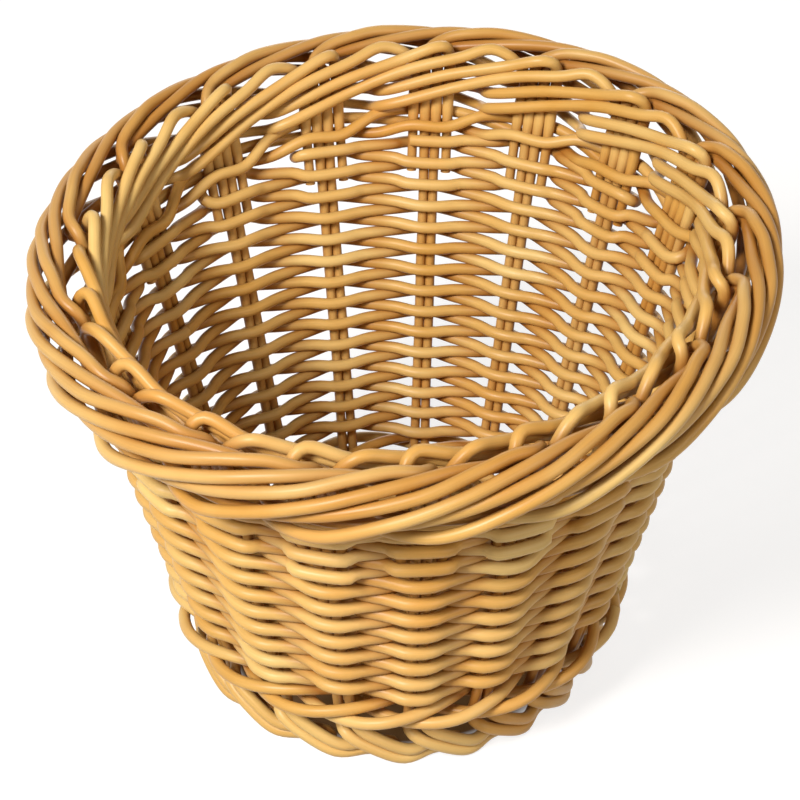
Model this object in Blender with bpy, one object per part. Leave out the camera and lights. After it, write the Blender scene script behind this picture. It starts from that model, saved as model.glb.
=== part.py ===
# Round woven fruit basket with a slanted mouth.
# Doubled stakes stand on a foot ring, flare upward and turn over into a rolled border.
# Two weavers chase each other up the wall, and short turned-back rows raise the back.
# Metres, +Z up. The origin is on the ground under the middle of the whole basket's outer box.
# The low side faces -Y. The foot's own middle lies a little towards -Y of the origin,
# because the high side of the flared mouth reaches out further than the low side.
import math

import bpy
from mathutils import Vector

# Rods and the room left between them
ROD_DIAMETER = 0.0046
WEAVER_DIAMETER = 0.0042
WALE_DIAMETER = 0.0050
UPPER_WALE_DIAMETER = 0.0042
CLEARANCE = 0.0003

# Wall: a cone through the middle of the stakes
STAKE_COUNT = 18
FOOT_RADIUS = 0.0772
WALL_FLARE_SHARE = 0.25
STAKE_OFFSET_DEGREES = 10.0
SPREAD_SHARE = 0.125
WIDE_SIDE_DEGREES = 160.0
HIGH_SIDE_DEGREES = 90.0

# Foot: the stakes' lower loops and the four-rod wale above them
FOOT_WALE_HEIGHT = 0.0310
FOOT_WALE_OUT = 0.0092
FOOT_WALE_RISE = 0.0037
FOOT_WALE_DWELL_DEGREES = 15.0
FOOT_WALE_STRANDS = 4
FOOT_TURN_DROP = 0.0130
FOOT_RING_OUT = 0.0048
FOOT_SWEEP = 0.0034
FOOT_FLAT = 0.0003

# Randed wall: the rows share the room between the foot wale and the upper wale evenly
FIRST_ROW_RISE = 0.0110
LEAST_ROW_PITCH = 0.0049
ROW_TIGHT_SHARE = 0.06
LENGTHS_PER_WEAVER = 4

# Slanted mouth and its rolled border
BORDER_HEIGHT = 0.1834
MOUTH_SLOPE_SHARE = 0.155
BORDER_OVERHANG = 0.0070
BORDER_HALF_WIDTH = 0.0103
BORDER_HALF_HEIGHT = 0.0124
UPPER_WALE_DROP = 0.0215
UPPER_WALE_STRANDS = 3
TAIL_LENGTH = 0.0440

# Base: crossed sticks under a woven plate
BASE_STICK_COUNT = 4
BASE_STICK_DIAMETER = 0.0046
BASE_PLATE_DROP = 0.0014
BASE_PLATE_THICKNESS = 0.0042
BASE_ROUNDS = 6
BASE_RIPPLE = 0.0007
BASE_SEGMENTS = 24

# The way of a stake's two ends round the rolled border: how far along in stakes, how far out
# from the roll's middle and how far up, the last two as shares of its half width and half height
LEADING_SHARES = (
    (0.19, -0.02, 0.93), (0.60, 0.50, 0.95), (1.13, 0.97, 0.57), (1.75, 0.98, 0.01), (2.35, 0.64, -0.43),
    (2.89, 0.20, -0.61), (3.42, -0.28, -0.61), (3.64, -1.22, -0.44), (4.20, -1.46, 0.02), (4.75, -1.26, 0.49),
    (5.13, -1.00, 0.90))
LAGGING_SHARES = (
    (0.02, -0.02, 0.42), (0.66, 0.14, 0.78), (1.15, 0.67, 0.80), (1.69, 1.07, 0.41), (2.25, 1.09, -0.21),
    (2.81, 0.68, -0.85), (3.33, -0.36, -1.08), (3.56, -1.42, -0.81), (4.19, -1.46, -0.32), (4.72, -1.46, 0.21),
    (5.20, -1.24, 0.60), (5.52, -0.78, 0.86))
LEADING_RISE_SHARE = 0.69
LAGGING_RISE_SHARE = 0.13
LEADING_DIVE_SHARE = 0.40
LAGGING_DIVE_SHARE = 0.14
LEADING_SPAN = 5
LAGGING_SPAN = 6

# Where the upper wale's rods pass the stakes and the gaps, as shares of their diameter and way out
UPPER_WALE_STAKE_SHARES = (0.0, -0.6, 0.6)
UPPER_WALE_GAP_SHARES = ((0.0, -0.8), (1.25, 0.0), (0.0, 0.8))
UPPER_WALE_ROOM_SHARE = 1.75

# Places along the foot, as shares of the space between two stakes
FOOT_PLACE_SHARES = ((0.12, 0.82), (0.40, 0.48), (0.88, 0.0), (1.32, 0.0))
FOOT_END_SHARE = 1.68
FOOT_IN_FROM_SHARE = 0.7
FOOT_IN_OVER_SHARE = 0.55

HALF_ROD_SHARE = 0.38


def clear_scene():
    for thing in list(bpy.data.objects):
        bpy.data.objects.remove(thing, do_unlink=True)


def make_material(name, colour, roughness):
    material = bpy.data.materials.new(name)
    material.use_nodes = True
    shader = material.node_tree.nodes["Principled BSDF"]
    shader.inputs["Base Color"].default_value = (*colour, 1.0)
    shader.inputs["Roughness"].default_value = roughness
    shader.inputs["Metallic"].default_value = 0.0
    return material


# Places on the basket

def stake_angle(place):
    """Azimuth of a place counted in stakes: the stakes stand wider apart on one side."""
    base = math.radians(STAKE_OFFSET_DEGREES) + math.tau * place / STAKE_COUNT
    return base + SPREAD_SHARE * math.sin(base - math.radians(WIDE_SIDE_DEGREES))


def wall_radius(height):
    return FOOT_RADIUS + WALL_FLARE_SHARE * height


def slant(angle):
    """How far the slanted mouth lies above its middle height on the wall at this azimuth."""
    rise = MOUTH_SLOPE_SHARE * wall_radius(BORDER_HEIGHT)
    return rise * math.cos(angle - math.radians(HIGH_SIDE_DEGREES))


def radial(angle):
    return Vector((math.cos(angle), math.sin(angle), 0.0))


def at(angle, radius, height):
    return radial(angle) * radius + Vector((0.0, 0.0, height))


def side_step(place, height, distance):
    """The same place moved sideways round the wall by a distance."""
    gap = stake_angle(place + 0.5) - stake_angle(place - 0.5)
    return place + distance / (gap * wall_radius(height))


# Rods

def tube(name, route, half, sides, material):
    """A faceted rod along a route of (point, reference direction) pairs, closed at both ends."""
    points = [point for point, facing in route]
    count = len(points)
    verts = []
    last = None
    for index, (point, facing) in enumerate(route):
        before = points[max(index - 1, 0)]
        after = points[min(index + 1, count - 1)]
        back = (point - before).normalized() if index > 0 else None
        ahead = (after - point).normalized() if index < count - 1 else None
        along = (ahead if back is None else back if ahead is None else back + ahead).normalized()
        first = (facing - along * facing.dot(along)).normalized()
        if last is not None:
            first = least_twist(first, along, last, sides)
        last = first
        second = along.cross(first)
        for side in range(sides):
            spot = math.tau * (side + 0.5) / sides
            verts.append(point + (first * math.cos(spot) + second * math.sin(spot)) * half)
    faces = []
    for ring in range(count - 1):
        for side in range(sides):
            low = ring * sides + side
            low_next = ring * sides + (side + 1) % sides
            faces.append((low, low_next, low_next + sides, low + sides))
    faces.append(tuple(reversed(range(sides))))
    faces.append(tuple(range((count - 1) * sides, count * sides)))
    mesh = bpy.data.meshes.new(name)
    mesh.from_pydata([tuple(v) for v in verts], [], faces)
    mesh.update()
    piece = bpy.data.objects.new(name, mesh)
    bpy.context.collection.objects.link(piece)
    mesh.materials.append(material)
    return piece


def least_twist(first, along, last, sides):
    """The like direction of a rod with this many sides that lies closest to the one before."""
    second = along.cross(first)
    turns = [math.tau * side / sides for side in range(sides)]
    return max((first * math.cos(turn) + second * math.sin(turn) for turn in turns), key=last.dot)


def square_reach(diameter):
    """Centre to corner of a square rod whose corners lie close to the round one's surface."""
    return diameter * HALF_ROD_SHARE * math.sqrt(2.0)


# Doubled stakes: one long rod folded double at the foot

def border_spot(place, out, up):
    """A point on the rolled border at shares of its half width and half height, and its facing."""
    angle = stake_angle(place)
    height = BORDER_HEIGHT + slant(angle)
    middle = wall_radius(height) + BORDER_OVERHANG
    point = at(angle, middle + BORDER_HALF_WIDTH * out, height + BORDER_HALF_HEIGHT * up)
    facing = radial(angle) * out + Vector((0.0, 0.0, up))
    return point, facing


def wall_spot(index, height, beside):
    angle = stake_angle(side_step(index, height, beside))
    return at(angle, wall_radius(height), height), -radial(angle)


def roll_height(index, share):
    """Height of a place in the roll above a stake, as a share of the roll's half height."""
    return BORDER_HEIGHT + slant(stake_angle(index)) + BORDER_HALF_HEIGHT * share


def border_route(index, leads):
    """Up through the roll, clockwise over it, in beneath it, up its inner side and down a tail."""
    pitch = ROD_DIAMETER + CLEARANCE
    beside = 0.5 * pitch if leads else -0.5 * pitch
    shares = LEADING_SHARES if leads else LAGGING_SHARES
    rise = roll_height(index, LEADING_RISE_SHARE if leads else LAGGING_RISE_SHARE)
    start = side_step(index, rise, beside)
    route = [wall_spot(index, rise, beside)]
    route.extend(border_spot(start - share, out, up) for share, out, up in shares)
    # the tails of two stakes end on either side of a third one, a rod's width from its pair
    aim = index - (LEADING_SPAN if leads else LAGGING_SPAN)
    aside = (-1.5 if leads else 1.5) * pitch
    dive = roll_height(aim, LEADING_DIVE_SHARE if leads else LAGGING_DIVE_SHARE)
    for height in (dive, roll_height(aim, 0.0) - TAIL_LENGTH):
        route.append(wall_spot(aim, height, aside))
    return route


def foot_route(index, beside, lead):
    """Down from under the wale, along the ground to the next stakes and tucked in beneath them."""
    half = ROD_DIAMETER * HALF_ROD_SHARE
    lift = half - FOOT_FLAT + (2.0 * half + CLEARANCE) * lead
    turn = FOOT_WALE_HEIGHT - FOOT_TURN_DROP
    high = turn + ROD_DIAMETER * lead
    start = side_step(index, high, beside)
    route = [wall_spot(index, high, beside)]
    for share, fall in FOOT_PLACE_SHARES + ((FOOT_END_SHARE, 0.0),):
        inward = min(max((share - FOOT_IN_FROM_SHARE) / FOOT_IN_OVER_SHARE, 0.0), 1.0)
        radius = wall_radius(0.0) + FOOT_RING_OUT + FOOT_SWEEP - 2.0 * FOOT_SWEEP * inward
        # the two legs draw together towards the fold
        place = index + share + (start - index) * (1.0 - share / FOOT_END_SHARE)
        angle = stake_angle(place)
        height = lift + (turn - half) * fall
        route.append((at(angle, radius, height), -radial(angle)))
    return route


def stake_pair(index, material):
    beside = 0.5 * (ROD_DIAMETER + CLEARANCE)
    # the foot runs one way round and the border the other, so each rod nests its twin
    rise = list(reversed(border_route(index, True)))
    drop = foot_route(index, beside, 1.0)
    lower = list(reversed(foot_route(index, -beside, 0.0)))
    climb = border_route(index, False)
    route = rise + drop + lower + climb
    name = "stake_pair_%02d" % (index + 1)
    piece = tube(name, route, square_reach(ROD_DIAMETER), 4, material)
    # the loops are cut flat where the basket stands on them
    for vert in piece.data.vertices:
        vert.co.z = max(vert.co.z, 0.0)


# Weavers

def weave_out(diameter):
    """How far a weaver's middle lies from the middle of the stakes where it passes them."""
    return 0.5 * (ROD_DIAMETER + diameter)


def half_flat(index, height):
    """Half the stretch where a weaver lies flat across a pair of stakes, and their tails higher up."""
    tails = height > roll_height(index, 0.0) - TAIL_LENGTH - WEAVER_DIAMETER
    rods = 2.0 if tails else 1.0
    return (ROD_DIAMETER + CLEARANCE) * rods


def weave_spots(index, height, side, out):
    """The two corners of a weaver where it passes a pair of stakes on one side."""
    reach = half_flat(index, height)
    # a long flat dips towards the middle of the basket, as a chord does
    dip = 0.5 * reach * reach / wall_radius(height)
    radius = wall_radius(height) + side * out + dip
    angles = [stake_angle(side_step(index, height, way * reach)) for way in (-1, 1)]
    return [(at(angle, radius, height), radial(angle)) for angle in angles]


def row_side(index, row):
    return 1 if (index + row) % 2 == 0 else -1


def upper_wale_height(angle):
    return BORDER_HEIGHT + slant(angle) - UPPER_WALE_DROP


def row_room(angle):
    """Height between the first row and the highest one that fits under the upper wale."""
    top = upper_wale_height(angle) - UPPER_WALE_ROOM_SHARE * UPPER_WALE_DIAMETER
    return top - FOOT_WALE_HEIGHT - FIRST_ROW_RISE


def full_rounds():
    """Rounds of the two weavers that fit on the low side."""
    room = row_room(math.radians(HIGH_SIDE_DEGREES) + math.pi)
    return int((room / LEAST_ROW_PITCH + 1.0) // 2.0)


def row_rise(row, angle):
    """Height of a row above the first one: the rows lie a little closer on the high side."""
    toward = 0.5 + 0.5 * math.cos(angle - math.radians(HIGH_SIDE_DEGREES))
    pitch = row_room(math.radians(HIGH_SIDE_DEGREES) + math.pi) / (2 * full_rounds() - 1)
    return pitch * row * (1.0 - ROW_TIGHT_SHARE * toward)


def row_height(row, index):
    return FOOT_WALE_HEIGHT + FIRST_ROW_RISE + row_rise(row, stake_angle(index))


def weaver_routes(strand):
    """One of the two chasing weavers, cut into lengths behind a stake as a maker joins them."""
    out = weave_out(WEAVER_DIAMETER)
    total = full_rounds() * STAKE_COUNT
    route = []
    routes = []
    for step in range(total):
        row = strand + 2 * (step // STAKE_COUNT)
        index = step % STAKE_COUNT
        spots = weave_spots(index, row_height(row, index), row_side(index, row), out)
        share = (step + 1) * LENGTHS_PER_WEAVER // total
        ends = share > len(routes) and row_side(index, row) < 0 and len(routes) < LENGTHS_PER_WEAVER - 1
        route.append(spots[0])
        if ends:
            middle = spots[0][0].lerp(spots[1][0], 0.5)
            along = (spots[1][0] - spots[0][0]).normalized() * CLEARANCE
            route.append((middle - along, spots[0][1]))
            routes.append(route)
            route = [(middle + along, spots[1][1])]
        route.append(spots[1])
    routes.append(route)
    return routes


def packing_stakes(row):
    """Stakes round the high side that a short row reaches under the slanted wale."""
    high = math.radians(HIGH_SIDE_DEGREES)
    near = range(-STAKE_COUNT, 2 * STAKE_COUNT)
    near = [index for index in near if abs(stake_angle(index) - high) < math.pi]
    return [index for index in near if row_rise(row, stake_angle(index)) <= row_room(stake_angle(index))]


def packing_rows():
    rows = []
    row = 2 * full_rounds()
    while len(packing_stakes(row)) > 1:
        rows.append(row)
        row += 1
    return rows


def packing_route():
    """One weaver that runs to and fro across the high side, turning back round a stake each time."""
    out = weave_out(WEAVER_DIAMETER)
    rows = packing_rows()
    route = []
    heading = 1
    place = packing_stakes(rows[0])[0]
    for number, row in enumerate(rows):
        following = rows[min(number + 1, len(rows) - 1)]
        reach = packing_stakes(following)
        last = reach[-1] if heading > 0 else reach[0]
        if (last - place) * heading < 1:
            break
        index = place
        while (last - index) * heading >= 0:
            spots = weave_spots(index, row_height(row, index), row_side(index, row), out)
            ordered = spots if heading > 0 else list(reversed(spots))
            route.extend((point, facing * heading) for point, facing in ordered)
            index += heading
        if number < len(rows) - 1:
            route.append(turn_spot(last, row, heading))
        place = last
        heading = -heading
    if len(route) % 2 and route:
        route.pop()
    return route


def turn_spot(index, row, heading):
    """The outermost point of the loop where a short row turns back round a stake."""
    height = 0.5 * (row_height(row, index) + row_height(row + 1, index))
    away = half_flat(index, height) + WEAVER_DIAMETER
    angle = stake_angle(side_step(index, height, heading * away))
    facing = radial(angle + 0.5 * math.pi) * row_side(index, row)
    return at(angle, wall_radius(height), height), facing


def upper_wale_route(strand):
    """One of three rods, each outside two stakes and inside the third, under the border."""
    out = weave_out(UPPER_WALE_DIAMETER)
    route = []
    for index in range(STAKE_COUNT):
        phase = (index + strand) % UPPER_WALE_STRANDS
        height = upper_wale_height(stake_angle(index)) + UPPER_WALE_STAKE_SHARES[phase] * UPPER_WALE_DIAMETER
        route.extend(weave_spots(index, height, 1 if phase else -1, out))
        if index < STAKE_COUNT - 1:
            out_share, up_share = UPPER_WALE_GAP_SHARES[phase]
            middle = stake_angle(index + 0.5)
            level = upper_wale_height(middle) + up_share * UPPER_WALE_DIAMETER
            route.append((at(middle, wall_radius(level) + out_share * out, level), radial(middle)))
    return route


def foot_wale_route(strand):
    """One of four rods that twist about the stakes like a rope, a quarter turn to each stake."""
    route = []
    quarter = math.tau / FOOT_WALE_STRANDS
    dwell = math.radians(FOOT_WALE_DWELL_DEGREES)
    for index in range(STAKE_COUNT):
        edge = half_flat(index, FOOT_WALE_HEIGHT)
        swing = quarter * (strand + index)
        spots = [(side_step(index, FOOT_WALE_HEIGHT, -edge), swing - dwell)]
        spots.append((side_step(index, FOOT_WALE_HEIGHT, edge), swing + dwell))
        spots.append((index + 0.5, swing + 0.5 * quarter))
        if index == STAKE_COUNT - 1:
            spots.pop()
        for place, turn in spots:
            angle = stake_angle(place)
            height = FOOT_WALE_HEIGHT - FOOT_WALE_RISE * math.cos(turn + 0.5 * quarter)
            radius = wall_radius(height) + FOOT_WALE_OUT * math.sin(turn + 0.5 * quarter)
            route.append((at(angle, radius, height), radial(angle)))
    return route


# Base

def base_plate(material):
    """The woven base as a round plate with one ripple to each round of weaving."""
    top = FOOT_WALE_HEIGHT - BASE_PLATE_DROP
    wale_middle = wall_radius(FOOT_WALE_HEIGHT) - FOOT_WALE_OUT
    radius = wale_middle - 0.5 * WALE_DIAMETER - CLEARANCE
    profile = []
    for step in range(BASE_ROUNDS + 1):
        ripple = BASE_RIPPLE if step % 2 else 0.0
        profile.append((radius * (1.0 - step / (BASE_ROUNDS + 1)), top - ripple))
    verts = []
    for ring_radius, height in profile:
        for segment in range(BASE_SEGMENTS):
            angle = math.tau * segment / BASE_SEGMENTS
            verts.append(tuple(at(angle, ring_radius, height)))
    for segment in range(BASE_SEGMENTS):
        angle = math.tau * segment / BASE_SEGMENTS
        verts.append(tuple(at(angle, radius, top - BASE_PLATE_THICKNESS)))
    faces = []
    rings = len(profile)
    for ring in range(rings - 1):
        for segment in range(BASE_SEGMENTS):
            after = (segment + 1) % BASE_SEGMENTS
            low = ring * BASE_SEGMENTS
            high = low + BASE_SEGMENTS
            faces.append((low + segment, low + after, high + after, high + segment))
    under = rings * BASE_SEGMENTS
    for segment in range(BASE_SEGMENTS):
        after = (segment + 1) % BASE_SEGMENTS
        faces.append((under + segment, under + after, after, segment))
    faces.append(tuple(range(under - BASE_SEGMENTS, under)))
    faces.append(tuple(reversed(range(under, under + BASE_SEGMENTS))))
    mesh = bpy.data.meshes.new("base_weave")
    mesh.from_pydata(verts, [], faces)
    mesh.update()
    piece = bpy.data.objects.new("base_weave", mesh)
    bpy.context.collection.objects.link(piece)
    mesh.materials.append(material)


def base_sticks(material):
    """Four sticks one way and four the other way, crossed under the woven plate."""
    pitch = BASE_STICK_DIAMETER + CLEARANCE
    half = BASE_STICK_DIAMETER * HALF_ROD_SHARE
    top = FOOT_WALE_HEIGHT - BASE_PLATE_DROP - BASE_PLATE_THICKNESS - CLEARANCE - half
    number = 0
    for layer in range(2):
        height = top - layer * (2.0 * half + CLEARANCE)
        reach = wall_radius(height) - 0.5 * ROD_DIAMETER - CLEARANCE
        for stick in range(BASE_STICK_COUNT):
            offset = (stick - 0.5 * (BASE_STICK_COUNT - 1)) * pitch
            length = math.sqrt(reach * reach - offset * offset)
            ends = (Vector((-length, offset, height)), Vector((length, offset, height)))
            if layer:
                ends = (Vector((offset, -length, height)), Vector((offset, length, height)))
            facing = Vector((0.0, 0.0, 1.0))
            number += 1
            route = [(end, facing) for end in ends]
            tube("base_stick_%d" % number, route, square_reach(BASE_STICK_DIAMETER), 4, material)


# Place in the frame

def stand_on_origin(pieces):
    """Move all pieces alike so that their outer box stands centred on the origin."""
    corners = [vert.co for piece in pieces for vert in piece.data.vertices]
    middle = Vector((0.0, 0.0, 0.0))
    for axis in range(2):
        values = [corner[axis] for corner in corners]
        middle[axis] = 0.5 * (min(values) + max(values))
    for piece in pieces:
        piece.location = -middle


def build():
    clear_scene()
    honey = make_material("honey_rod", (0.80, 0.50, 0.17), 0.42)
    pale = make_material("pale_weaver", (0.82, 0.54, 0.20), 0.45)
    for index in range(STAKE_COUNT):
        stake_pair(index, honey)
    for strand, letter in enumerate("ab"):
        for number, route in enumerate(weaver_routes(strand)):
            name = "weaver_%s_%d" % (letter, number + 1)
            tube(name, route, 0.5 * WEAVER_DIAMETER, 3, pale)
    tube("packing_weaver", packing_route(), 0.5 * WEAVER_DIAMETER, 3, pale)
    for strand in range(UPPER_WALE_STRANDS):
        route = upper_wale_route(strand)
        tube("upper_wale_%d" % (strand + 1), route, 0.5 * UPPER_WALE_DIAMETER, 3, pale)
    for strand in range(FOOT_WALE_STRANDS):
        tube("foot_wale_%d" % (strand + 1), foot_wale_route(strand), 0.5 * WALE_DIAMETER, 3, honey)
    base_plate(pale)
    base_sticks(honey)
    stand_on_origin(list(bpy.data.objects))


build()
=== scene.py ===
# %% [markdown]
# ## The basket and its frame
# A round fruit basket of honey-coloured cane rods. The frame holds one plain solid for each rod.
# Each solid gets its finished rod here: the same path, made round, smooth and lively.

import math

import bpy
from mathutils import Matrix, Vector


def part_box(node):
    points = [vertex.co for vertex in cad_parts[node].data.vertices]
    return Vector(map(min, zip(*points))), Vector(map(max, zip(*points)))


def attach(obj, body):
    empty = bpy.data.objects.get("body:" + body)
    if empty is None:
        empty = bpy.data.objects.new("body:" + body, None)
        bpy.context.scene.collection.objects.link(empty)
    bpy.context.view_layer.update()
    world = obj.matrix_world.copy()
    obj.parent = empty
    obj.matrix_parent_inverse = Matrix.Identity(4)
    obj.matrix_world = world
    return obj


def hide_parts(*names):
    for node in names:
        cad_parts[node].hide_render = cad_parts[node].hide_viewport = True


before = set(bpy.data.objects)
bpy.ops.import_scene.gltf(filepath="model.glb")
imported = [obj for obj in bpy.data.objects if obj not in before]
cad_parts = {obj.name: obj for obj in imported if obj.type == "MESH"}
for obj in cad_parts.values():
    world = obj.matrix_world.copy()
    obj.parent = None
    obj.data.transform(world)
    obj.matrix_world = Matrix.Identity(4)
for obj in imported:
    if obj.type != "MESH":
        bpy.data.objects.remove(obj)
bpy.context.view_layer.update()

# %% [markdown]
# ## Where everything stands
# The wall is a cone, and the mouth is a slanted plane cut through it. The cone's axis is read from
# the woven floor, because the outer box isn't centred on it: the high side leans out further.
# Every rod's path below is worked out from these few sizes, as a maker's plan would give them.

# %% Wall sizes
MM = 0.001
floor_low, floor_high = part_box("base_weave")
AXIS = Vector(((floor_low[0] + floor_high[0]) / 2, (floor_low[1] + floor_high[1]) / 2, 0))
FLOOR_TOP = floor_high[2]
FLOOR_RADIUS = (floor_high[0] - floor_low[0]) / 2
ROD = 4.9 * MM
WALL_ROD_SHARE = 0.86
WEAVER = 5.0 * MM
STAKES = 18
FIRST_STAKE = math.radians(10)
STAKE_SPREAD_SHARE = 0.125
SPREAD_SIDE = math.radians(160)
HIGH_SIDE = math.pi / 2
FOOT_RADIUS = 77.2 * MM
FLARE = 0.25
BORDER_HEIGHT = 183.4 * MM
MOUTH_SLOPE = 0.155
BORDER_OVERHANG = 7.0 * MM
BORDER_HALF_WIDTH = 10.3 * MM
BORDER_HALF_HEIGHT = 12.4 * MM
UPPER_WALE_DROP = 21.3 * MM
HIGH_WALE_DROP = 1.5 * MM
TAIL_LENGTH = 44 * MM
print("wall axis", [round(v / MM, 2) for v in AXIS], "floor radius", round(FLOOR_RADIUS / MM, 1))

# %% Places on the wall


def stake_angle(place):
    """Azimuth of a place counted in stakes, which stand a little wider apart on one side."""
    base = FIRST_STAKE + math.tau * place / STAKES
    return base + STAKE_SPREAD_SHARE * math.sin(base - SPREAD_SIDE)


def wall_radius(height):
    return FOOT_RADIUS + FLARE * height


def slant(angle):
    """How far the slanted mouth stands above its middle height."""
    return MOUTH_SLOPE * wall_radius(BORDER_HEIGHT) * math.cos(angle - HIGH_SIDE)


def high_share(angle):
    """1 at the high side of the mouth, 0 at the low side."""
    return 0.5 + 0.5 * math.cos(angle - HIGH_SIDE)


def wale_height(angle):
    """Height of the upper wale, which sits a little lower under the roll at the high side."""
    return BORDER_HEIGHT + slant(angle) - UPPER_WALE_DROP - HIGH_WALE_DROP * high_share(angle)


def roll_height(place):
    """Height of the middle of the rolled border over a place."""
    return BORDER_HEIGHT + slant(stake_angle(place))


def at(angle, radius, height):
    return AXIS + Vector((math.cos(angle) * radius, math.sin(angle) * radius, height))


def beside(place, height, distance):
    """The same place moved sideways round the wall by a distance."""
    gap = stake_angle(place + 0.5) - stake_angle(place - 0.5)
    return place + distance / (gap * wall_radius(height))


print("mouth rises", round(slant(HIGH_SIDE) / MM, 1), "mm to the high side")

# %% [markdown]
# ## A rod along a path
# Every piece is the same thing, a long round rod, so one Geometry Nodes tree makes them all.
# It takes a chain of points, bends a smooth curve through them, and sweeps a circle along it.
# A little noise keeps the rod from looking drawn with a ruler. The tree also stores where each
# point lies on its rod, so that the grain of the finish can follow the rod round every bend.

# %% The rod tree
CURVE_POINTS = 10
WAVER_SCALE = 38.0


def rod_tree():
    tree = bpy.data.node_groups.new("Cane rod", "GeometryNodeTree")
    face = tree.interface
    face.new_socket("Geometry", in_out="INPUT", socket_type="NodeSocketGeometry")
    for label, kind in (("Diameter", "Float"), ("Sides", "Int"), ("Step", "Float"),
                        ("Waver", "Float"), ("Seed", "Int"), ("Finish", "Material")):
        face.new_socket(label, in_out="INPUT", socket_type="NodeSocket" + kind)
    face.new_socket("Geometry", in_out="OUTPUT", socket_type="NodeSocketGeometry")
    nodes, links = tree.nodes, tree.links

    def add(kind, settings=None, **inputs):
        node = nodes.new(kind)
        for key, value in (settings or {}).items():
            setattr(node, key, value)
        for key, value in inputs.items():
            socket = node.inputs[key.replace("_", " ")]
            if isinstance(value, bpy.types.NodeSocket):
                links.new(value, socket)
            else:
                socket.default_value = value
        return node

    given = nodes.new("NodeGroupInput").outputs
    chain = add("GeometryNodeMeshToCurve", Mesh=given["Geometry"])
    smooth = add("GeometryNodeCurveSplineType", {"spline_type": "CATMULL_ROM"}, Curve=chain.outputs[0])
    fine = add("GeometryNodeSetSplineResolution", Geometry=smooth.outputs[0],
               Resolution=CURVE_POINTS)
    even = add("GeometryNodeResampleCurve", {"mode": "LENGTH"}, Curve=fine.outputs[0],
               Length=given["Step"])
    noise = add("ShaderNodeTexNoise", {"noise_dimensions": "4D"}, W=given["Seed"],
                Scale=WAVER_SCALE, Detail=1.0)
    centred = add("ShaderNodeVectorMath", {"operation": "SUBTRACT"})
    links.new(noise.outputs["Color"], centred.inputs[0])
    centred.inputs[1].default_value = (0.5, 0.5, 0.5)
    nudge = add("ShaderNodeVectorMath", {"operation": "SCALE"}, Scale=given["Waver"])
    links.new(centred.outputs[0], nudge.inputs[0])
    alive = add("GeometryNodeSetPosition", Geometry=even.outputs[0], Offset=nudge.outputs[0])
    spline = nodes.new("GeometryNodeSplineParameter").outputs
    tone = add("FunctionNodeRandomValue", {"data_type": "FLOAT"}, ID=spline["Index"],
               Seed=given["Seed"])
    along = add("GeometryNodeStoreNamedAttribute", {"data_type": "FLOAT", "domain": "POINT"},
                Geometry=alive.outputs[0], Name="rod_along", Value=spline["Length"])
    half = add("ShaderNodeMath", {"operation": "MULTIPLY"})
    links.new(given["Diameter"], half.inputs[0])
    half.inputs[1].default_value = 0.5
    ring = add("GeometryNodeCurvePrimitiveCircle", {"mode": "RADIUS"},
               Resolution=given["Sides"], Radius=half.outputs[0])
    place = nodes.new("GeometryNodeInputPosition").outputs[0]
    side = add("GeometryNodeStoreNamedAttribute", {"data_type": "FLOAT_VECTOR", "domain": "POINT"},
               Geometry=ring.outputs[0], Name="rod_side", Value=place)
    width = add("GeometryNodeInputNamedAttribute", {"data_type": "FLOAT"}, Name="rod_width")
    swept = add("GeometryNodeCurveToMesh", Curve=along.outputs[0], Profile_Curve=side.outputs[0],
                Scale=width.outputs[0], Fill_Caps=True)
    toned = add("GeometryNodeStoreNamedAttribute", {"data_type": "FLOAT", "domain": "POINT"},
                Geometry=swept.outputs[0], Name="rod_tone", Value=tone.outputs["Value"])
    soft = add("GeometryNodeSetShadeSmooth", Geometry=toned.outputs[0])
    real = add("GeometryNodeRealizeInstances", Geometry=soft.outputs[0])
    done = add("GeometryNodeSetMaterial", Geometry=real.outputs[0], Material=given["Finish"])
    out = nodes.new("NodeGroupOutput")
    links.new(done.outputs[0], out.inputs[0])
    return tree


ROD_TREE = rod_tree()
ROD_INPUTS = {item.name: item.identifier for item in ROD_TREE.interface.items_tree
              if item.in_out == "INPUT"}
print("rod tree inputs", sorted(ROD_INPUTS))

# %% [markdown]
# ## From points to a finished rod
# The points go into a mesh of bare edges, the tree sweeps it, and the result is kept as a plain
# mesh in which nothing is left to evaluate. The piece then stands in for its plain solid.
# A rod may be slimmer in places, so each point also carries its width as a share of the full one.

# %% Make a rod
ROD_WAVER = 0.5 * MM
WEAVER_WAVER = 0.3 * MM
ROD_SIDES = 14
ROD_STEP = 2.4 * MM
made = {}


def full_width(point):
    return 1.0


def make_rod(name, chains, diameter, finish, stands_for, seed, width=full_width, waver=ROD_WAVER,
             sides=ROD_SIDES, step=ROD_STEP):
    verts, edges = [], []
    for chain in chains:
        first = len(verts)
        verts.extend(tuple(point) for point in chain)
        edges.extend((first + n, first + n + 1) for n in range(len(chain) - 1))
    lines = bpy.data.meshes.new(name + "_path")
    lines.from_pydata(verts, edges, [])
    widths = lines.attributes.new("rod_width", "FLOAT", "POINT")
    widths.data.foreach_set("value", [width(Vector(vert)) for vert in verts])
    piece = bpy.data.objects.new(name, lines)
    bpy.context.collection.objects.link(piece)
    sweep = piece.modifiers.new("Cane rod", "NODES")
    sweep.node_group = ROD_TREE
    values = {"Diameter": diameter, "Sides": sides, "Step": step, "Waver": waver, "Seed": seed,
              "Finish": finish}
    for label, value in values.items():
        sweep[ROD_INPUTS[label]] = value
    graph = bpy.context.evaluated_depsgraph_get()
    mesh = bpy.data.meshes.new_from_object(piece.evaluated_get(graph))
    piece.modifiers.clear()
    piece.data = mesh
    mesh.name = name
    bpy.data.meshes.remove(lines)
    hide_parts(*stands_for)
    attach(piece, "root")
    made[name] = len(mesh.polygons)
    return piece


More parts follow.
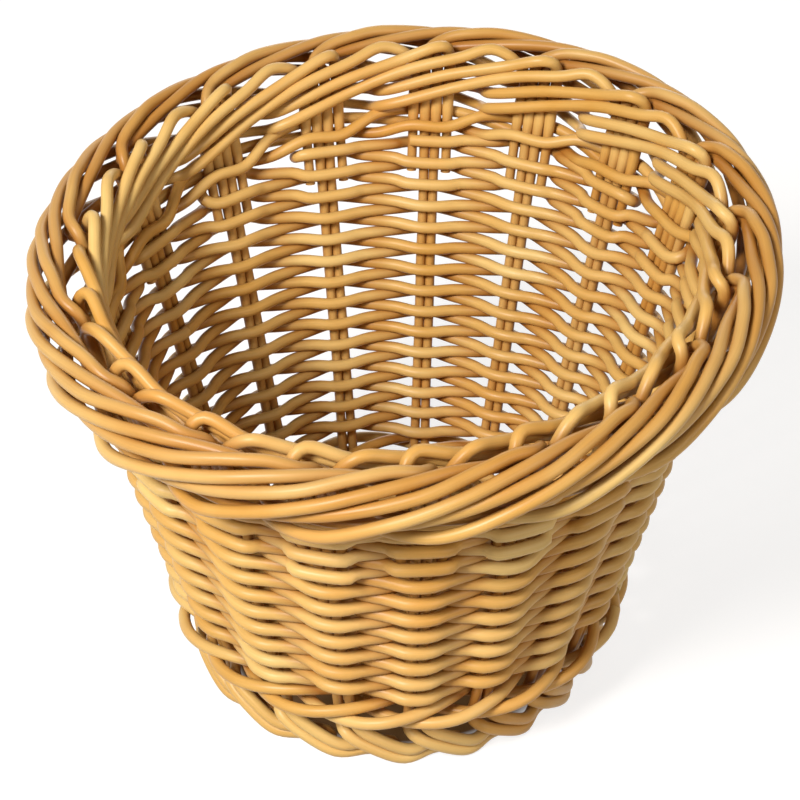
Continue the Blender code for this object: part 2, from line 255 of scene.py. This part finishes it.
# %% [markdown]
# ## The finish
# The rods are moulded cane: a warm honey colour through and through, with fine streaks drawn along
# the rod, patches where the colour runs lighter or redder, and a satin skin with soft highlights.
# Grain that follows the rod needs the rod's own coordinates, so the streaks are read at
# (side, side, length), which is the rod pulled straight.

# %% Shader maths


class Wire:
    """A socket that can be added, multiplied and mixed like a number."""

    def __init__(self, tree, socket):
        self.tree, self.socket = tree, socket

    @classmethod
    def node(cls, tree, kind, settings=None, inputs=None, output=0):
        node = tree.nodes.new(kind)
        for key, value in (settings or {}).items():
            setattr(node, key, value)
        for key, value in (inputs or {}).items():
            if isinstance(value, Wire):
                tree.links.new(value.socket, node.inputs[key])
            else:
                node.inputs[key].default_value = value
        return cls(tree, node.outputs[output])

    @classmethod
    def split(cls, tree, vector):
        """The three numbers of a vector."""
        parts = tree.nodes.new("ShaderNodeSeparateXYZ")
        tree.links.new(vector.socket, parts.inputs[0])
        return [cls(tree, output) for output in parts.outputs]

    def maths(self, operation, *values):
        return Wire.node(self.tree, "ShaderNodeMath", {"operation": operation}, dict(enumerate(values)))

    def __add__(self, other):
        return self.maths("ADD", self, other)

    __radd__ = __add__

    def __sub__(self, other):
        return self.maths("SUBTRACT", self, other)

    def __rsub__(self, other):
        return self.maths("SUBTRACT", other, self)

    def __mul__(self, other):
        return self.maths("MULTIPLY", self, other)

    __rmul__ = __mul__

    def __truediv__(self, other):
        return self.maths("DIVIDE", self, other)

    def root(self):
        return self.maths("SQRT", self)

    def size(self):
        return self.maths("ABSOLUTE", self)

    def between(self, low, high):
        """0 at low, 1 at high, held outside them."""
        return Wire.node(self.tree, "ShaderNodeMapRange", {"clamp": True}, {0: self, 1: low, 2: high})

    def tint(self, dark, light):
        """A colour from dark to light as this value goes from 0 to 1."""
        return mixed_colour(self.tree, "MIX", self, dark, light)


def mixed_colour(tree, kind, factor, first, second):
    settings = {"data_type": "RGBA", "blend_type": kind}
    return Wire.node(tree, "ShaderNodeMix", settings, {0: factor, 6: first, 7: second}, 2)


def attribute(tree, name, output="Fac"):
    reader = tree.nodes.new("ShaderNodeAttribute")
    reader.attribute_name = name
    return Wire(tree, reader.outputs[output])


print("shader maths ready")

# %% [markdown]
# ## Painted shade between the rods
# Where rods cross and lie against each other, their colour is painted a deep brown as painted shade,
# and only their open sides keep the honey colour. It could be painted by hand, but the wall is a cone
# and the roll is a ring, so the depth of any point follows from its distance to the wall's middle and
# from its place in the roll.

# %% Depth between the rods
WALL_DEEP = 0.2 * MM
WALL_OPEN = 3.6 * MM
ROLL_DEEP_SHARE = 0.75
ROLL_OPEN_SHARE = 1.35
ROLL_END_SHARES = (1.6, 1.9)


def painted_shade_openness(tree, spot):
    """Mask of the painted shade: 0 deep between the rods and 1 on their open sides, in the wall and in
    the roll.
    """
    x, y, z = Wire.split(tree, spot)
    x, y = x - AXIS.x, y - AXIS.y
    reach = (x * x + y * y).root()
    off = reach - (z * FLARE + FOOT_RADIUS)
    wall = off.size().between(WALL_DEEP, WALL_OPEN)
    rise = z - BORDER_HEIGHT - y / reach * slant(HIGH_SIDE)
    out = (off - BORDER_OVERHANG) * (1 / BORDER_HALF_WIDTH)
    up = rise * (1 / BORDER_HALF_HEIGHT)
    away = (out * out + up * up).root()
    clear = away.between(*ROLL_END_SHARES)
    return wall * clear + away.between(ROLL_DEEP_SHARE, ROLL_OPEN_SHARE) * (1 - clear)


print("deep within", round(WALL_DEEP / MM, 1), "mm of the wall's middle, open from",
      round(WALL_OPEN / MM, 1), "mm")

# %% [markdown]
# ## The two colours of cane
# The stakes and the weavers are the same cane, the weavers a shade paler. Each finish is mixed from
# a light, a deep and a redder colour: the rod's own tone and broad patches choose between light and
# deep, slow clouds bring in the red, the painted shade between the rods comes next, and the fine
# streaks go over all of it.

# %% The honey finish
# Painted shade: the deep brown colour below is put on the rods where they lie against each other, where
# shade falls.
PAINTED_CREVICE_SHADE = (0.33, 0.115, 0.014, 1)
PAINTED_SHADE_SHARE = 0.85
STREAK_LENGTH_SHARE = 0.03
STREAK_SCALE = 1500.0
STREAK_DARK = (0.70, 0.62, 0.52, 1)
STREAK_SHARE = 0.35
PATCH_SCALE = 34.0
CLOUD_SCALE = 11.0
RED_SHARE = 0.45
STREAK_DEPTH = 0.12 * MM
WHITE = (1, 1, 1, 1)


def cane_finish(name, light, deep, red, roughness):
    finish = bpy.data.materials.new(name)
    finish.use_nodes = True
    tree = finish.node_tree
    shader = tree.nodes["Principled BSDF"]
    across, up, _ = Wire.split(tree, attribute(tree, "rod_side", "Vector"))
    tone = attribute(tree, "rod_tone")
    lengthwise = attribute(tree, "rod_along") * STREAK_LENGTH_SHARE + tone
    straight = Wire.node(tree, "ShaderNodeCombineXYZ", None, {0: across, 1: up, 2: lengthwise})
    spot = Wire.node(tree, "ShaderNodeTexCoord", None, {}, 3)

    def noise(vector, scale, detail):
        inputs = {"Vector": vector, "Scale": scale, "Detail": detail}
        return Wire.node(tree, "ShaderNodeTexNoise", None, inputs)

    streaks = noise(straight, STREAK_SCALE, 3.0)
    patches = noise(spot, PATCH_SCALE, 2.0)
    clouds = noise(spot, CLOUD_SCALE, 1.0)
    colour = (patches * 0.55 + tone * 0.45).between(0.25, 0.80).tint(deep, light)
    redder = (clouds * 0.7 + streaks * 0.3).between(0.48, 0.70) * RED_SHARE
    colour = redder.tint(colour, red)
    # Painted shade: the colour turns to the painted deep brown between the rods and stays honey on their
    # open sides.
    clear_of_painted_shade = painted_shade_openness(tree, spot).between(0, 1) * PAINTED_SHADE_SHARE + (1 - PAINTED_SHADE_SHARE)
    colour = clear_of_painted_shade.tint(PAINTED_CREVICE_SHADE, colour)
    fine = streaks.between(0.30, 0.72)
    colour = mixed_colour(tree, "MULTIPLY", STREAK_SHARE, colour, fine.tint(STREAK_DARK, WHITE))
    tree.links.new(colour.socket, shader.inputs["Base Color"])
    rough = patches * 0.10 + fine * 0.06 + (roughness - 0.08)
    tree.links.new(rough.socket, shader.inputs["Roughness"])
    grain = {"Strength": 0.35, "Distance": STREAK_DEPTH, "Height": streaks}
    bump = Wire.node(tree, "ShaderNodeBump", None, grain)
    tree.links.new(bump.socket, shader.inputs["Normal"])
    shader.inputs["IOR"].default_value = 1.46
    shader.inputs["Specular IOR Level"].default_value = 0.28
    return finish


HONEY = cane_finish("honey_cane", (0.745, 0.52, 0.195, 1), (0.57, 0.29, 0.055, 1),
                    (0.60, 0.25, 0.052, 1), 0.38)
PALE = cane_finish("pale_cane", (0.755, 0.535, 0.205, 1), (0.58, 0.305, 0.065, 1),
                   (0.61, 0.27, 0.058, 1), 0.40)
print("finishes", HONEY.name, PALE.name)

# %% [markdown]
# ## The rolled border
# The border isn't a hoop: it is the upper ends of the stakes. Each rod comes up through the middle
# of the roll, bends over the top, runs down the outer side and under, passes inwards between two
# stakes, climbs the inner side, and goes down through the roll into the wall beside a stake.
# The two rods of a pair go the same way, the second half a stake behind the first, so that the
# strands lie side by side. The tables give the way round the roll's section: how many stakes on,
# and how far out and up in shares of the roll's half width and half height.

# %% The way round the roll
LEADING_SHARES = (
    (0.13, -0.02, 0.78), (0.36, 0.20, 0.97), (0.66, 0.56, 0.93), (1.13, 0.97, 0.57),
    (1.75, 0.98, 0.01), (2.35, 0.64, -0.43), (2.89, 0.20, -0.61), (3.42, -0.28, -0.61),
    (3.64, -1.22, -0.44), (4.20, -1.46, 0.02), (4.75, -1.26, 0.49), (5.13, -1.00, 0.90))
TRAILING_SHARES = (
    (0.02, -0.02, 0.42), (0.66, 0.14, 0.78), (1.15, 0.67, 0.80), (1.69, 1.07, 0.41),
    (2.25, 1.09, -0.21), (2.81, 0.68, -0.85), (3.33, -0.36, -1.08), (3.56, -1.42, -0.81),
    (4.19, -1.46, -0.32), (4.72, -1.46, 0.21), (5.20, -1.24, 0.60), (5.52, -0.78, 0.86))
LEADING_RISE_SHARE = 0.40
TRAILING_RISE_SHARE = 0.13
TRAILING_DIVE_SHARE = 0.14
LEADING_STAKES_ON = 5
TRAILING_STAKES_ON = 6
TAIL_POINTS = 4
ROLL_LOW_SHARE = 1.22
ROLL_HIGH_SIDE_SHARE = 0.10


def border_spot(place, out, up):
    """A place in the roll, whose lower half is a little deeper and reaches down over the wale."""
    angle = stake_angle(place)
    height = BORDER_HEIGHT + slant(angle)
    radius = wall_radius(height) + BORDER_OVERHANG + BORDER_HALF_WIDTH * out
    deep = ROLL_LOW_SHARE + ROLL_HIGH_SIDE_SHARE * high_share(angle)
    return at(angle, radius, height + BORDER_HALF_HEIGHT * up * (deep if up < 0 else 1))


def wall_spot(index, height, aside):
    """A place in the middle of the wall, beside a stake."""
    return at(stake_angle(beside(index, height, aside)), wall_radius(height), height)


def border_path(index, leading):
    """Up through the roll, round it, and down to the end of the tail."""
    rise = LEADING_RISE_SHARE if leading else TRAILING_RISE_SHARE
    fall = LEADING_RISE_SHARE if leading else TRAILING_DIVE_SHARE
    way = 1 if leading else -1
    top = roll_height(index) + rise * BORDER_HALF_HEIGHT
    path = [wall_spot(index, top, way * ROD / 2)]
    start = beside(index, top, way * ROD / 2)
    for share, out, up in LEADING_SHARES if leading else TRAILING_SHARES:
        path.append(border_spot(start - share, out, up))
    aim = index - (LEADING_STAKES_ON if leading else TRAILING_STAKES_ON)
    dive = roll_height(aim) + fall * BORDER_HALF_HEIGHT
    end = roll_height(aim) - TAIL_LENGTH
    for step in range(TAIL_POINTS):
        height = dive + (end - dive) * step / (TAIL_POINTS - 1)
        path.append(wall_spot(aim, height, -1.5 * way * ROD))
    return path


print("rods in the roll", 2 * STAKES)

# %% [markdown]
# ## The foot
# At the foot each doubled stake is one rod folded back on itself. It bends out under the wale,
# lies along the ground past the next stake, and the fold is tucked in beneath the loops there.

# %% Way along the ground
FOOT_RING_OUT = 4.8 * MM
FOOT_SWEEP = 3.4 * MM
FOOT_TURN = 18 * MM
FOOT_PRESS = 0.6 * MM
FOOT_SHARES = ((0.12, 0.82), (0.40, 0.48), (0.88, 0.0), (1.32, 0.0), (1.68, 0.0))
FOOT_FOLD_SHARE = FOOT_SHARES[-1][0]
FOOT_INWARD_SHARES = (0.70, 0.55)


def foot_path(index, side, upper):
    """From the wall out to the ring and along the ground to the fold. The upper rod lies on the other."""
    lift = ROD / 2 + (ROD - FOOT_PRESS) * upper
    high = FOOT_TURN + ROD * upper
    start = beside(index, high, side)
    path = [wall_spot(index, high, side)]
    inward_from, inward_over = FOOT_INWARD_SHARES
    for share, fall in FOOT_SHARES:
        inward = min(max((share - inward_from) / inward_over, 0), 1)
        radius = FOOT_RADIUS + FOOT_RING_OUT + FOOT_SWEEP * (1 - 2 * inward)
        place = index + share + (start - index) * (1 - share / FOOT_FOLD_SHARE)
        path.append(at(stake_angle(place), radius, lift + (FOOT_TURN - ROD / 2) * fall))
    return path


# %% The upright part of a stake
WALL_POINTS = 6


def wall_line(index, side):
    """Points down the wall, close enough together to keep the stake straight there."""
    top = roll_height(index) - BORDER_HALF_HEIGHT
    low = FOOT_TURN + 2.4 * ROD
    last = WALL_POINTS - 1
    return [wall_spot(index, top + (low - top) * step / last,
                      side * (WALL_ROD_SHARE if 0 < step < last else 1)) for step in range(WALL_POINTS)]


def stake_width(point):
    """Full in the roll and at the foot, slimmer in the wall, where the weave presses on the pair."""
    arm = point - AXIS
    top = BORDER_HEIGHT + slant(math.atan2(arm.y, arm.x)) - 1.25 * BORDER_HALF_HEIGHT
    return WALL_ROD_SHARE if FOOT_TURN + ROD < point.z < top else 1.0


def stake_path(index):
    """The whole folded rod: down one side of the pair, round the fold, and up the other side."""
    side = ROD / 2
    down = list(reversed(border_path(index, True))) + wall_line(index, side)
    up = list(reversed(wall_line(index, -side))) + border_path(index, False)
    return down + foot_path(index, side, 1) + list(reversed(foot_path(index, -side, 0))) + up


# %% Make the stakes
for index in range(STAKES):
    name = "stake_rod_%02d" % (index + 1)
    make_rod(name, [stake_path(index)], ROD, HONEY, ["stake_pair_%02d" % (index + 1)], seed=index,
             width=stake_width)
print("stake faces", sum(made.values()))

# %% [markdown]
# ## The woven wall
# Two weavers chase each other up the wall, one always passing outside the stakes that the other
# passes inside. Where a weaver crosses a pair of stakes it lies flat against them, and between
# stakes it swings through. Near the mouth the border's tails stand beside the stakes, so it lies
# flat for longer there.

# %% Way of a weaver
FIRST_ROW = 42 * MM
LAST_ROW_DROP = 6.4 * MM
UPPER_WALE = 4.9 * MM
PRESS = 0.1 * MM
PAIR_FLAT_SHARE = 0.80
TAILS_FLAT_SHARE = 1.65
CROSSING_SHARES = ((0.35, 0.28), (0.65, -0.28))
ROUNDS = 10
ROUND_ROWS = 2 * ROUNDS
SHORT_ROWS = 9
LENGTHS = 4


def weave_out(diameter):
    """How far from the wall's middle a rod lies when it is pressed against the stakes."""
    return (ROD * WALL_ROD_SHARE + diameter) / 2 - PRESS


def half_flat(index, height):
    """Half the stretch where a weaver lies against a stake, longer where tails stand beside it."""
    beside_tails = height > roll_height(index) - TAIL_LENGTH - WEAVER
    return ROD * (TAILS_FLAT_SHARE if beside_tails else PAIR_FLAT_SHARE)


def weave_spots(index, height, side, out):
    """The two ends of the stretch where a weaver lies against a stake."""
    reach = half_flat(index, height)
    radius = wall_radius(height) + side * out + reach * reach / (2 * wall_radius(height))
    return [at(stake_angle(beside(index, height, way * reach)), radius, height) for way in (-1, 1)]


def row_side(index, row):
    """1 where a row passes outside a stake and -1 where it passes inside."""
    return 1 if (index + row) % 2 == 0 else -1


print("full rows", ROUND_ROWS, "short rows", SHORT_ROWS)

# %% [markdown]
# ## The heights of the rows
# The mouth slants, so the back has room for nine rows more than the front. One more weaver packs
# them in, to and fro across the back, and turns round a stake at the end of each row, one or two
# stakes sooner each time. The rows that pass a stake then share its height evenly.

# %% Rows


def row_room(angle):
    """Height between the first row and the highest one under the upper wale."""
    return wale_height(angle) - LAST_ROW_DROP - FIRST_ROW


def row_limit(index):
    """The highest row that a stake has room for."""
    return ROUND_ROWS - 1 + round(SHORT_ROWS * high_share(stake_angle(index)))


def short_rows():
    """Each short row as (row, stake it starts at, stake it turns round), going to and fro."""
    near = [n for n in range(-STAKES, 2 * STAKES) if abs(stake_angle(n) - HIGH_SIDE) < math.pi]
    rows, heading = [], 1
    place = [n for n in near if row_limit(n) >= ROUND_ROWS][0]
    for row in range(ROUND_ROWS, ROUND_ROWS + SHORT_ROWS):
        above = min(row + 1, ROUND_ROWS - 1 + SHORT_ROWS)
        reach = [n for n in near if row_limit(n) >= above]
        turn = reach[-1] if heading > 0 else reach[0]
        rows.append((row, place, turn))
        place, heading = turn, -heading
    return rows


SHORT_ROW_PLACES = short_rows()


def rows_at(index):
    """The highest row that passes a stake."""
    top = ROUND_ROWS - 1
    for row, first, last in SHORT_ROW_PLACES:
        for turn in (-STAKES, 0, STAKES):
            if min(first, last) <= index + turn <= max(first, last):
                top = max(top, row)
    return top


def climb(row, index):
    """How many rows higher a weaver lies near the seam, where each round climbs onto the next."""
    stake = index % STAKES
    before = {STAKES - 2: 0.4, STAKES - 1: 0.8}.get(stake, 0) * min(1, (ROUND_ROWS - 1 - row) / 3)
    after = {0: 0.8, 1: 0.4}.get(stake, 0) * min(1, row / 3)
    return before - after if row < ROUND_ROWS else 0


def row_height(row, index):
    return FIRST_ROW + row_room(stake_angle(index)) * (row + climb(row, index)) / rows_at(index)


print("short rows as (row, from stake, to stake)", SHORT_ROW_PLACES)

# %% [markdown]
# ## Two weavers that chase each other
# A weaver is one long rod, but a maker works with shorter ones and joins them behind a stake, so
# each of the two is made in four lengths. At the end of a round it has to climb two rows to lie on
# top of the other one, and it does so a little at a time, so that no step shows.

# %% Paths of the weavers


def crossing(index, row, side, following=None):
    """Points between two stakes, where a weaver swings through the wall to the other side."""
    spots = []
    after = row if following is None else following
    for share, swing in CROSSING_SHARES:
        angle = stake_angle(index + share)
        height = row_height(row, index) * (1 - share) + row_height(after, index + 1) * share
        spots.append(at(angle, wall_radius(height) + side * swing * weave_out(WEAVER), height))
    return spots


def weaver_paths(strand):
    """One weaver's path, cut into lengths behind a stake as the joins are in the frame."""
    total = ROUNDS * STAKES
    path, paths = [], []
    for step in range(total):
        row = strand + 2 * (step // STAKES)
        index = step % STAKES
        side = row_side(index, row)
        spots = weave_spots(index, row_height(row, index), side, weave_out(WEAVER))
        share = (step + 1) * LENGTHS // total
        path.append(spots[0])
        if share > len(paths) and side < 0 and len(paths) < LENGTHS - 1:
            middle = spots[0].lerp(spots[1], 0.5)
            paths.append(path + [middle])
            path = [middle]
        path.append(spots[1])
        if step < total - 1:
            path.extend(crossing(index, row, side, row + 2 if index == STAKES - 1 else row))
    return paths + [path]


# %% Make the weavers
for strand, letter in enumerate("ab"):
    for number, path in enumerate(weaver_paths(strand)):
        label = "%s_%d" % (letter, number + 1)
        make_rod("weave_rod_" + label, [path], WEAVER, PALE, ["weaver_" + label],
                 seed=40 + 10 * strand + number, waver=WEAVER_WAVER)
print("pieces so far", len(made))

# %% [markdown]
# ## The short rows that raise the back
# The packing weaver follows the same heights and sides as the others. It is one rod all the way,
# so its path runs each short row, and then rounds the last stake half a row higher.

# %% Way of the packing weaver


def packing_path():
    """All the short rows in turn, with a bend round the last stake of each."""
    path = []
    for row, first, last in SHORT_ROW_PLACES:
        heading = 1 if last > first else -1
        for index in range(first, last + heading, heading):
            side = row_side(index, row)
            spots = weave_spots(index, row_height(row, index), side, weave_out(WEAVER))
            path.extend(spots if heading > 0 else reversed(spots))
            if index != last:
                path.extend(crossing(index, row, side) if heading > 0 else
                            reversed(crossing(index - 1, row, -side)))
        if row < SHORT_ROW_PLACES[-1][0]:
            height = (row_height(row, last) + row_height(row + 1, last)) / 2
            turn = stake_angle(beside(last, height, heading * (half_flat(last, height) + WEAVER)))
            path.append(at(turn, wall_radius(height), height))
    return path


make_rod("weave_rod_packing", [packing_path()], WEAVER, PALE, ["packing_weaver"], seed=71,
         waver=WEAVER_WAVER)
print("packing rod faces", made["weave_rod_packing"])

# %% [markdown]
# ## The wales
# A wale is a rope of rods twisted round the stakes. Each of the three rods of the upper wale
# passes outside two stakes and inside the third. The four thick rods of the foot wale each take a
# quarter turn from one stake to the next, which gives the foot its long slanting strands.

# %% Way of the wales
WALE_STAKE_SHARES = (0.0, -0.6, 0.6)
WALE_GAP_SHARES = ((0.0, -0.8), (1.1, 0.0), (0.0, 0.8))
FOOT_WALE_HEIGHT = 31 * MM
FOOT_WALE_OUT = 9.2 * MM
FOOT_WALE_RISE = 3.9 * MM
FOOT_WALE_DWELL = math.radians(15)


def upper_wale_path(strand):
    """Once round the wall, outside two stakes and inside the third, and back to the start."""
    path = []
    for index in range(STAKES + 1):
        phase = (index + strand) % 3
        height = wale_height(stake_angle(index)) + WALE_STAKE_SHARES[phase] * UPPER_WALE
        spots = weave_spots(index, height, 1 if phase else -1, weave_out(UPPER_WALE))
        path.extend(spots if index < STAKES else spots[:1])
        if index < STAKES:
            out, up = WALE_GAP_SHARES[phase]
            middle = stake_angle(index + 0.5)
            level = wale_height(middle) + up * UPPER_WALE
            path.append(at(middle, wall_radius(level) + out * weave_out(UPPER_WALE), level))
    return path


def foot_wale_path(strand):
    """Once round the foot, a quarter turn of the rope from each stake to the next."""
    path = []
    quarter = math.pi / 2
    for index in range(STAKES + 1):
        swing = quarter * (strand + index) + quarter / 2
        before = beside(index, FOOT_WALE_HEIGHT, -ROD)
        after = beside(index, FOOT_WALE_HEIGHT, ROD)
        spots = [(before, swing - FOOT_WALE_DWELL), (after, swing + FOOT_WALE_DWELL),
                 (index + 0.5, swing + quarter / 2)]
        for place, turn in spots if index < STAKES else spots[:1]:
            height = FOOT_WALE_HEIGHT - FOOT_WALE_RISE * math.cos(turn)
            radius = wall_radius(height) + FOOT_WALE_OUT * math.sin(turn)
            path.append(at(stake_angle(place), radius, height))
    return path


# %% Make the wales
for strand in range(3):
    label = str(strand + 1)
    make_rod("wale_rod_upper_" + label, [upper_wale_path(strand)], UPPER_WALE, PALE,
             ["upper_wale_" + label], seed=80 + strand)
for strand in range(4):
    label = str(strand + 1)
    make_rod("wale_rod_foot_" + label, [foot_wale_path(strand)], ROD, HONEY, ["foot_wale_" + label],
             seed=90 + strand)
print("pieces so far", len(made))

# %% [markdown]
# ## The floor
# Eight sticks are crossed at the centre in two sets of four, and opened out like spokes. Two
# weavers go round and round them, over one and under the next, out to the foot wale.

# %% Sticks of the floor
STICK = 4.6 * MM
SET_STICKS = 4
SPOKES = 4 * SET_STICKS
STICK_REACH = FLOOR_RADIUS + 3 * MM
SPOKE_HEIGHT = FLOOR_TOP - 5.6 * MM
CROSS = SET_STICKS * STICK / 2
LOWER_SET_SHARE = 0.9
LOWER_END_SHARE = 0.4
BEND_SHARE = 1.25


def stick_path(layer, number):
    """One stick: parallel to its fellows in the middle, fanned out to its own spoke at each end."""
    fellow = number - (SET_STICKS - 1) / 2
    aside = fellow * STICK
    lift = -layer * STICK * LOWER_SET_SHARE
    ends = []
    for way in (-1, 1):
        turn = math.tau / SPOKES * fellow * (way if layer == 0 else -way)
        heading = (0 if way > 0 else math.pi) + turn
        ends.append(Vector((math.cos(heading) * STICK_REACH, math.sin(heading) * STICK_REACH,
                            SPOKE_HEIGHT + lift * LOWER_END_SHARE)))
    bend = CROSS * BEND_SHARE
    middle = [Vector((along, aside, SPOKE_HEIGHT + lift)) for along in (-bend, 0, bend)]
    points = [ends[0]] + middle + [ends[1]]
    if layer:
        points = [Vector((-p.y, p.x, p.z)) for p in points]
    return [AXIS + p for p in points]


for layer in range(2):
    for number in range(SET_STICKS):
        place = layer * SET_STICKS + number
        label = str(place + 1)
        make_rod("floor_stick_" + label, [stick_path(layer, number)], STICK, HONEY,
                 ["base_stick_" + label], seed=100 + place, sides=12)
print("sticks", 2 * SET_STICKS)

# %% Rounds of the floor
FLOOR_START_SHARE = 1.45
FLOOR_ROUND_SHARE = 0.98
FLOOR_ROUND_DROP = 3.7 * MM
FLOOR_ROUND_SWING = 1.5 * MM


def floor_round_path(strand):
    """A spiral from the cross to the rim, over one spoke and under the next."""
    path = []
    first = CROSS * FLOOR_START_SHARE
    last = FLOOR_RADIUS - WEAVER / 2
    steps = int((last - first) / (WEAVER * FLOOR_ROUND_SHARE)) * SPOKES
    for step in range(steps):
        radius = first + (last - first) * step / (steps - 1)
        over = 1 if (step + strand) % 2 == 0 else -1
        height = FLOOR_TOP - FLOOR_ROUND_DROP + over * FLOOR_ROUND_SWING
        path.append(at(math.tau * (step + 0.5) / SPOKES, radius, height))
    return path


make_rod("floor_weave", [floor_round_path(0), floor_round_path(1)], WEAVER, PALE, ["base_weave"],
         seed=120, sides=10, step=3 * MM)
print("all pieces", len(made), "faces", sum(made.values()))

# %% [markdown]
# ## The studio
# The photograph is a plain shot on white. The floor is pale, and what the camera sees of it is
# lifted to white by a glow of its own, while the shadow under the foot stays. The glow shows only
# to rays that look at the floor, so it throws no light on the basket. Inside the ring of the foot
# the floor's colour and glow are painted a dark warm brown, as painted shade under the basket.

# %% Floor
FLOOR_GLOW = 0.77
# How far inside and outside the foot ring the painted shade under the basket fades in.
PAINTED_FOOT_SHADE_INSET = 6 * MM
PAINTED_FOOT_SHADE_EDGE = 2 * MM


def looked_at(tree):
    """1 where the camera sees a surface straight, in a gloss or through glass, and 0 for its light."""
    rays = tree.nodes.new("ShaderNodeLightPath")
    straight, glossy, through = [
        Wire(tree, rays.outputs["Is %s Ray" % kind]) for kind in ("Camera", "Glossy", "Transmission")]
    return (straight + glossy + through).between(0, 1)


bpy.ops.mesh.primitive_plane_add(size=6, location=(0, 0, 0))
ground = bpy.context.object
ground.name = "ground"
paper = bpy.data.materials.new("white_paper")
paper.use_nodes = True
tree = paper.node_tree
paper_shader = tree.nodes["Principled BSDF"]
paper_shader.inputs["Roughness"].default_value = 0.9

glow = looked_at(tree) * FLOOR_GLOW
tree.links.new(glow.socket, paper_shader.inputs["Emission Strength"])
spot = Wire.node(tree, "ShaderNodeTexCoord", None, {}, 3)
arm = Wire.node(tree, "ShaderNodeVectorMath", {"operation": "DISTANCE"}, {0: spot, 1: tuple(AXIS)}, 1)
# Painted shade under the basket: inside the foot ring the floor's glow and colour turn a dark warm brown.
clear_of_painted_foot_shade = arm.between(FOOT_RADIUS - PAINTED_FOOT_SHADE_INSET, FOOT_RADIUS + PAINTED_FOOT_SHADE_EDGE)
glow_colour_with_painted_shade = clear_of_painted_foot_shade.tint((0.06, 0.03, 0.01, 1), WHITE)
tree.links.new(glow_colour_with_painted_shade.socket, paper_shader.inputs["Emission Color"])
paper_colour_with_painted_shade = clear_of_painted_foot_shade.tint((0.14, 0.08, 0.04, 1), (0.31, 0.30, 0.29, 1))
tree.links.new(paper_colour_with_painted_shade.socket, paper_shader.inputs["Base Color"])
ground.data.materials.append(paper)
print("floor", ground.name)

# %% [markdown]
# ## The world
# The world works the same way: white to rays that look at it, and otherwise a faint warm fill, as
# from the walls of a room.

# %% World
SKY_FILL = 0.10
scene = bpy.context.scene
scene.view_settings.view_transform = "Standard"
world = bpy.data.worlds.new("studio")
world.use_nodes = True
scene.world = world
sky = world.node_tree.nodes["Background"]
sky_seen = looked_at(world.node_tree)
sky_strength = sky_seen * (1 - SKY_FILL) + SKY_FILL
world.node_tree.links.new(sky_strength.socket, sky.inputs["Strength"])
sky_colour = sky_seen.tint((1, 0.91, 0.78, 1), WHITE)
world.node_tree.links.new(sky_colour.socket, sky.inputs["Color"])
print("world", world.name)

# %% [markdown]
# ## The lamps
# The key is a soft lamp from the front left and above. It lights the inner right side through the
# mouth and leaves the inner left side of the wall in deep warm shade. A wide, weaker lamp from the
# front right keeps that shade readable, and a low one behind lights the back.

# %% Lamps
VIEW_AZIMUTH = math.radians(21)
LAMP_AIM = 110 * MM


def lamp(name, azimuth, elevation, distance, size, power, colour):
    """A square lamp placed by its bearing from the camera's side, aimed at the basket's middle."""
    data = bpy.data.lights.new(name, "AREA")
    data.size = size
    data.energy = power
    data.color = colour
    light = bpy.data.objects.new(name, data)
    bpy.context.collection.objects.link(light)
    bearing = VIEW_AZIMUTH + math.radians(azimuth) - math.pi / 2
    level = math.radians(elevation)
    way = Vector((math.cos(bearing) * math.cos(level), math.sin(bearing) * math.cos(level),
                  math.sin(level)))
    middle = AXIS + Vector((0, 0, LAMP_AIM))
    light.location = middle + way * distance
    light.rotation_euler = (-way).to_track_quat("-Z", "Y").to_euler()


lamp("key", -40, 42, 1.6, 0.45, 34.5, (1, 0.985, 0.96))
lamp("front_fill", 44, 26, 1.8, 1.0, 10.5, (1, 0.95, 0.88))
lamp("back", 175, 14, 1.8, 1.0, 7, (1, 0.97, 0.92))
print("lamps ready")

# %% [markdown]
# ## The camera
# The camera stands where the photograph's did, worked out from the outline of the border, the wall
# and the foot: 35 degrees above the table, 0.83 m from the basket.

# %% Camera
ELEVATION = math.radians(34.95)
DISTANCE = 0.830
FOCAL_PIXELS = 2082.0
PHOTO_PIXELS = 800
SENSOR_WIDTH = 36
TARGET = Vector((0.8 * MM, 0, 117.7 * MM))


def turned(vector, angle):
    """A vector turned about the upright axis."""
    return Vector((vector.x * math.cos(angle) - vector.y * math.sin(angle),
                   vector.x * math.sin(angle) + vector.y * math.cos(angle), vector.z))


camera_data = bpy.data.cameras.new("camera")
camera_data.sensor_width = SENSOR_WIDTH
camera_data.lens = FOCAL_PIXELS / PHOTO_PIXELS * SENSOR_WIDTH
camera = bpy.data.objects.new("camera", camera_data)
bpy.context.collection.objects.link(camera)
back = Vector((0, -math.cos(ELEVATION), math.sin(ELEVATION)))
camera.location = AXIS + turned(TARGET + back * DISTANCE, VIEW_AZIMUTH)
camera.rotation_euler = (turned(-back, VIEW_AZIMUTH)).to_track_quat("-Z", "Y").to_euler()
scene.camera = camera
print("lens", round(camera_data.lens, 1), "mm")
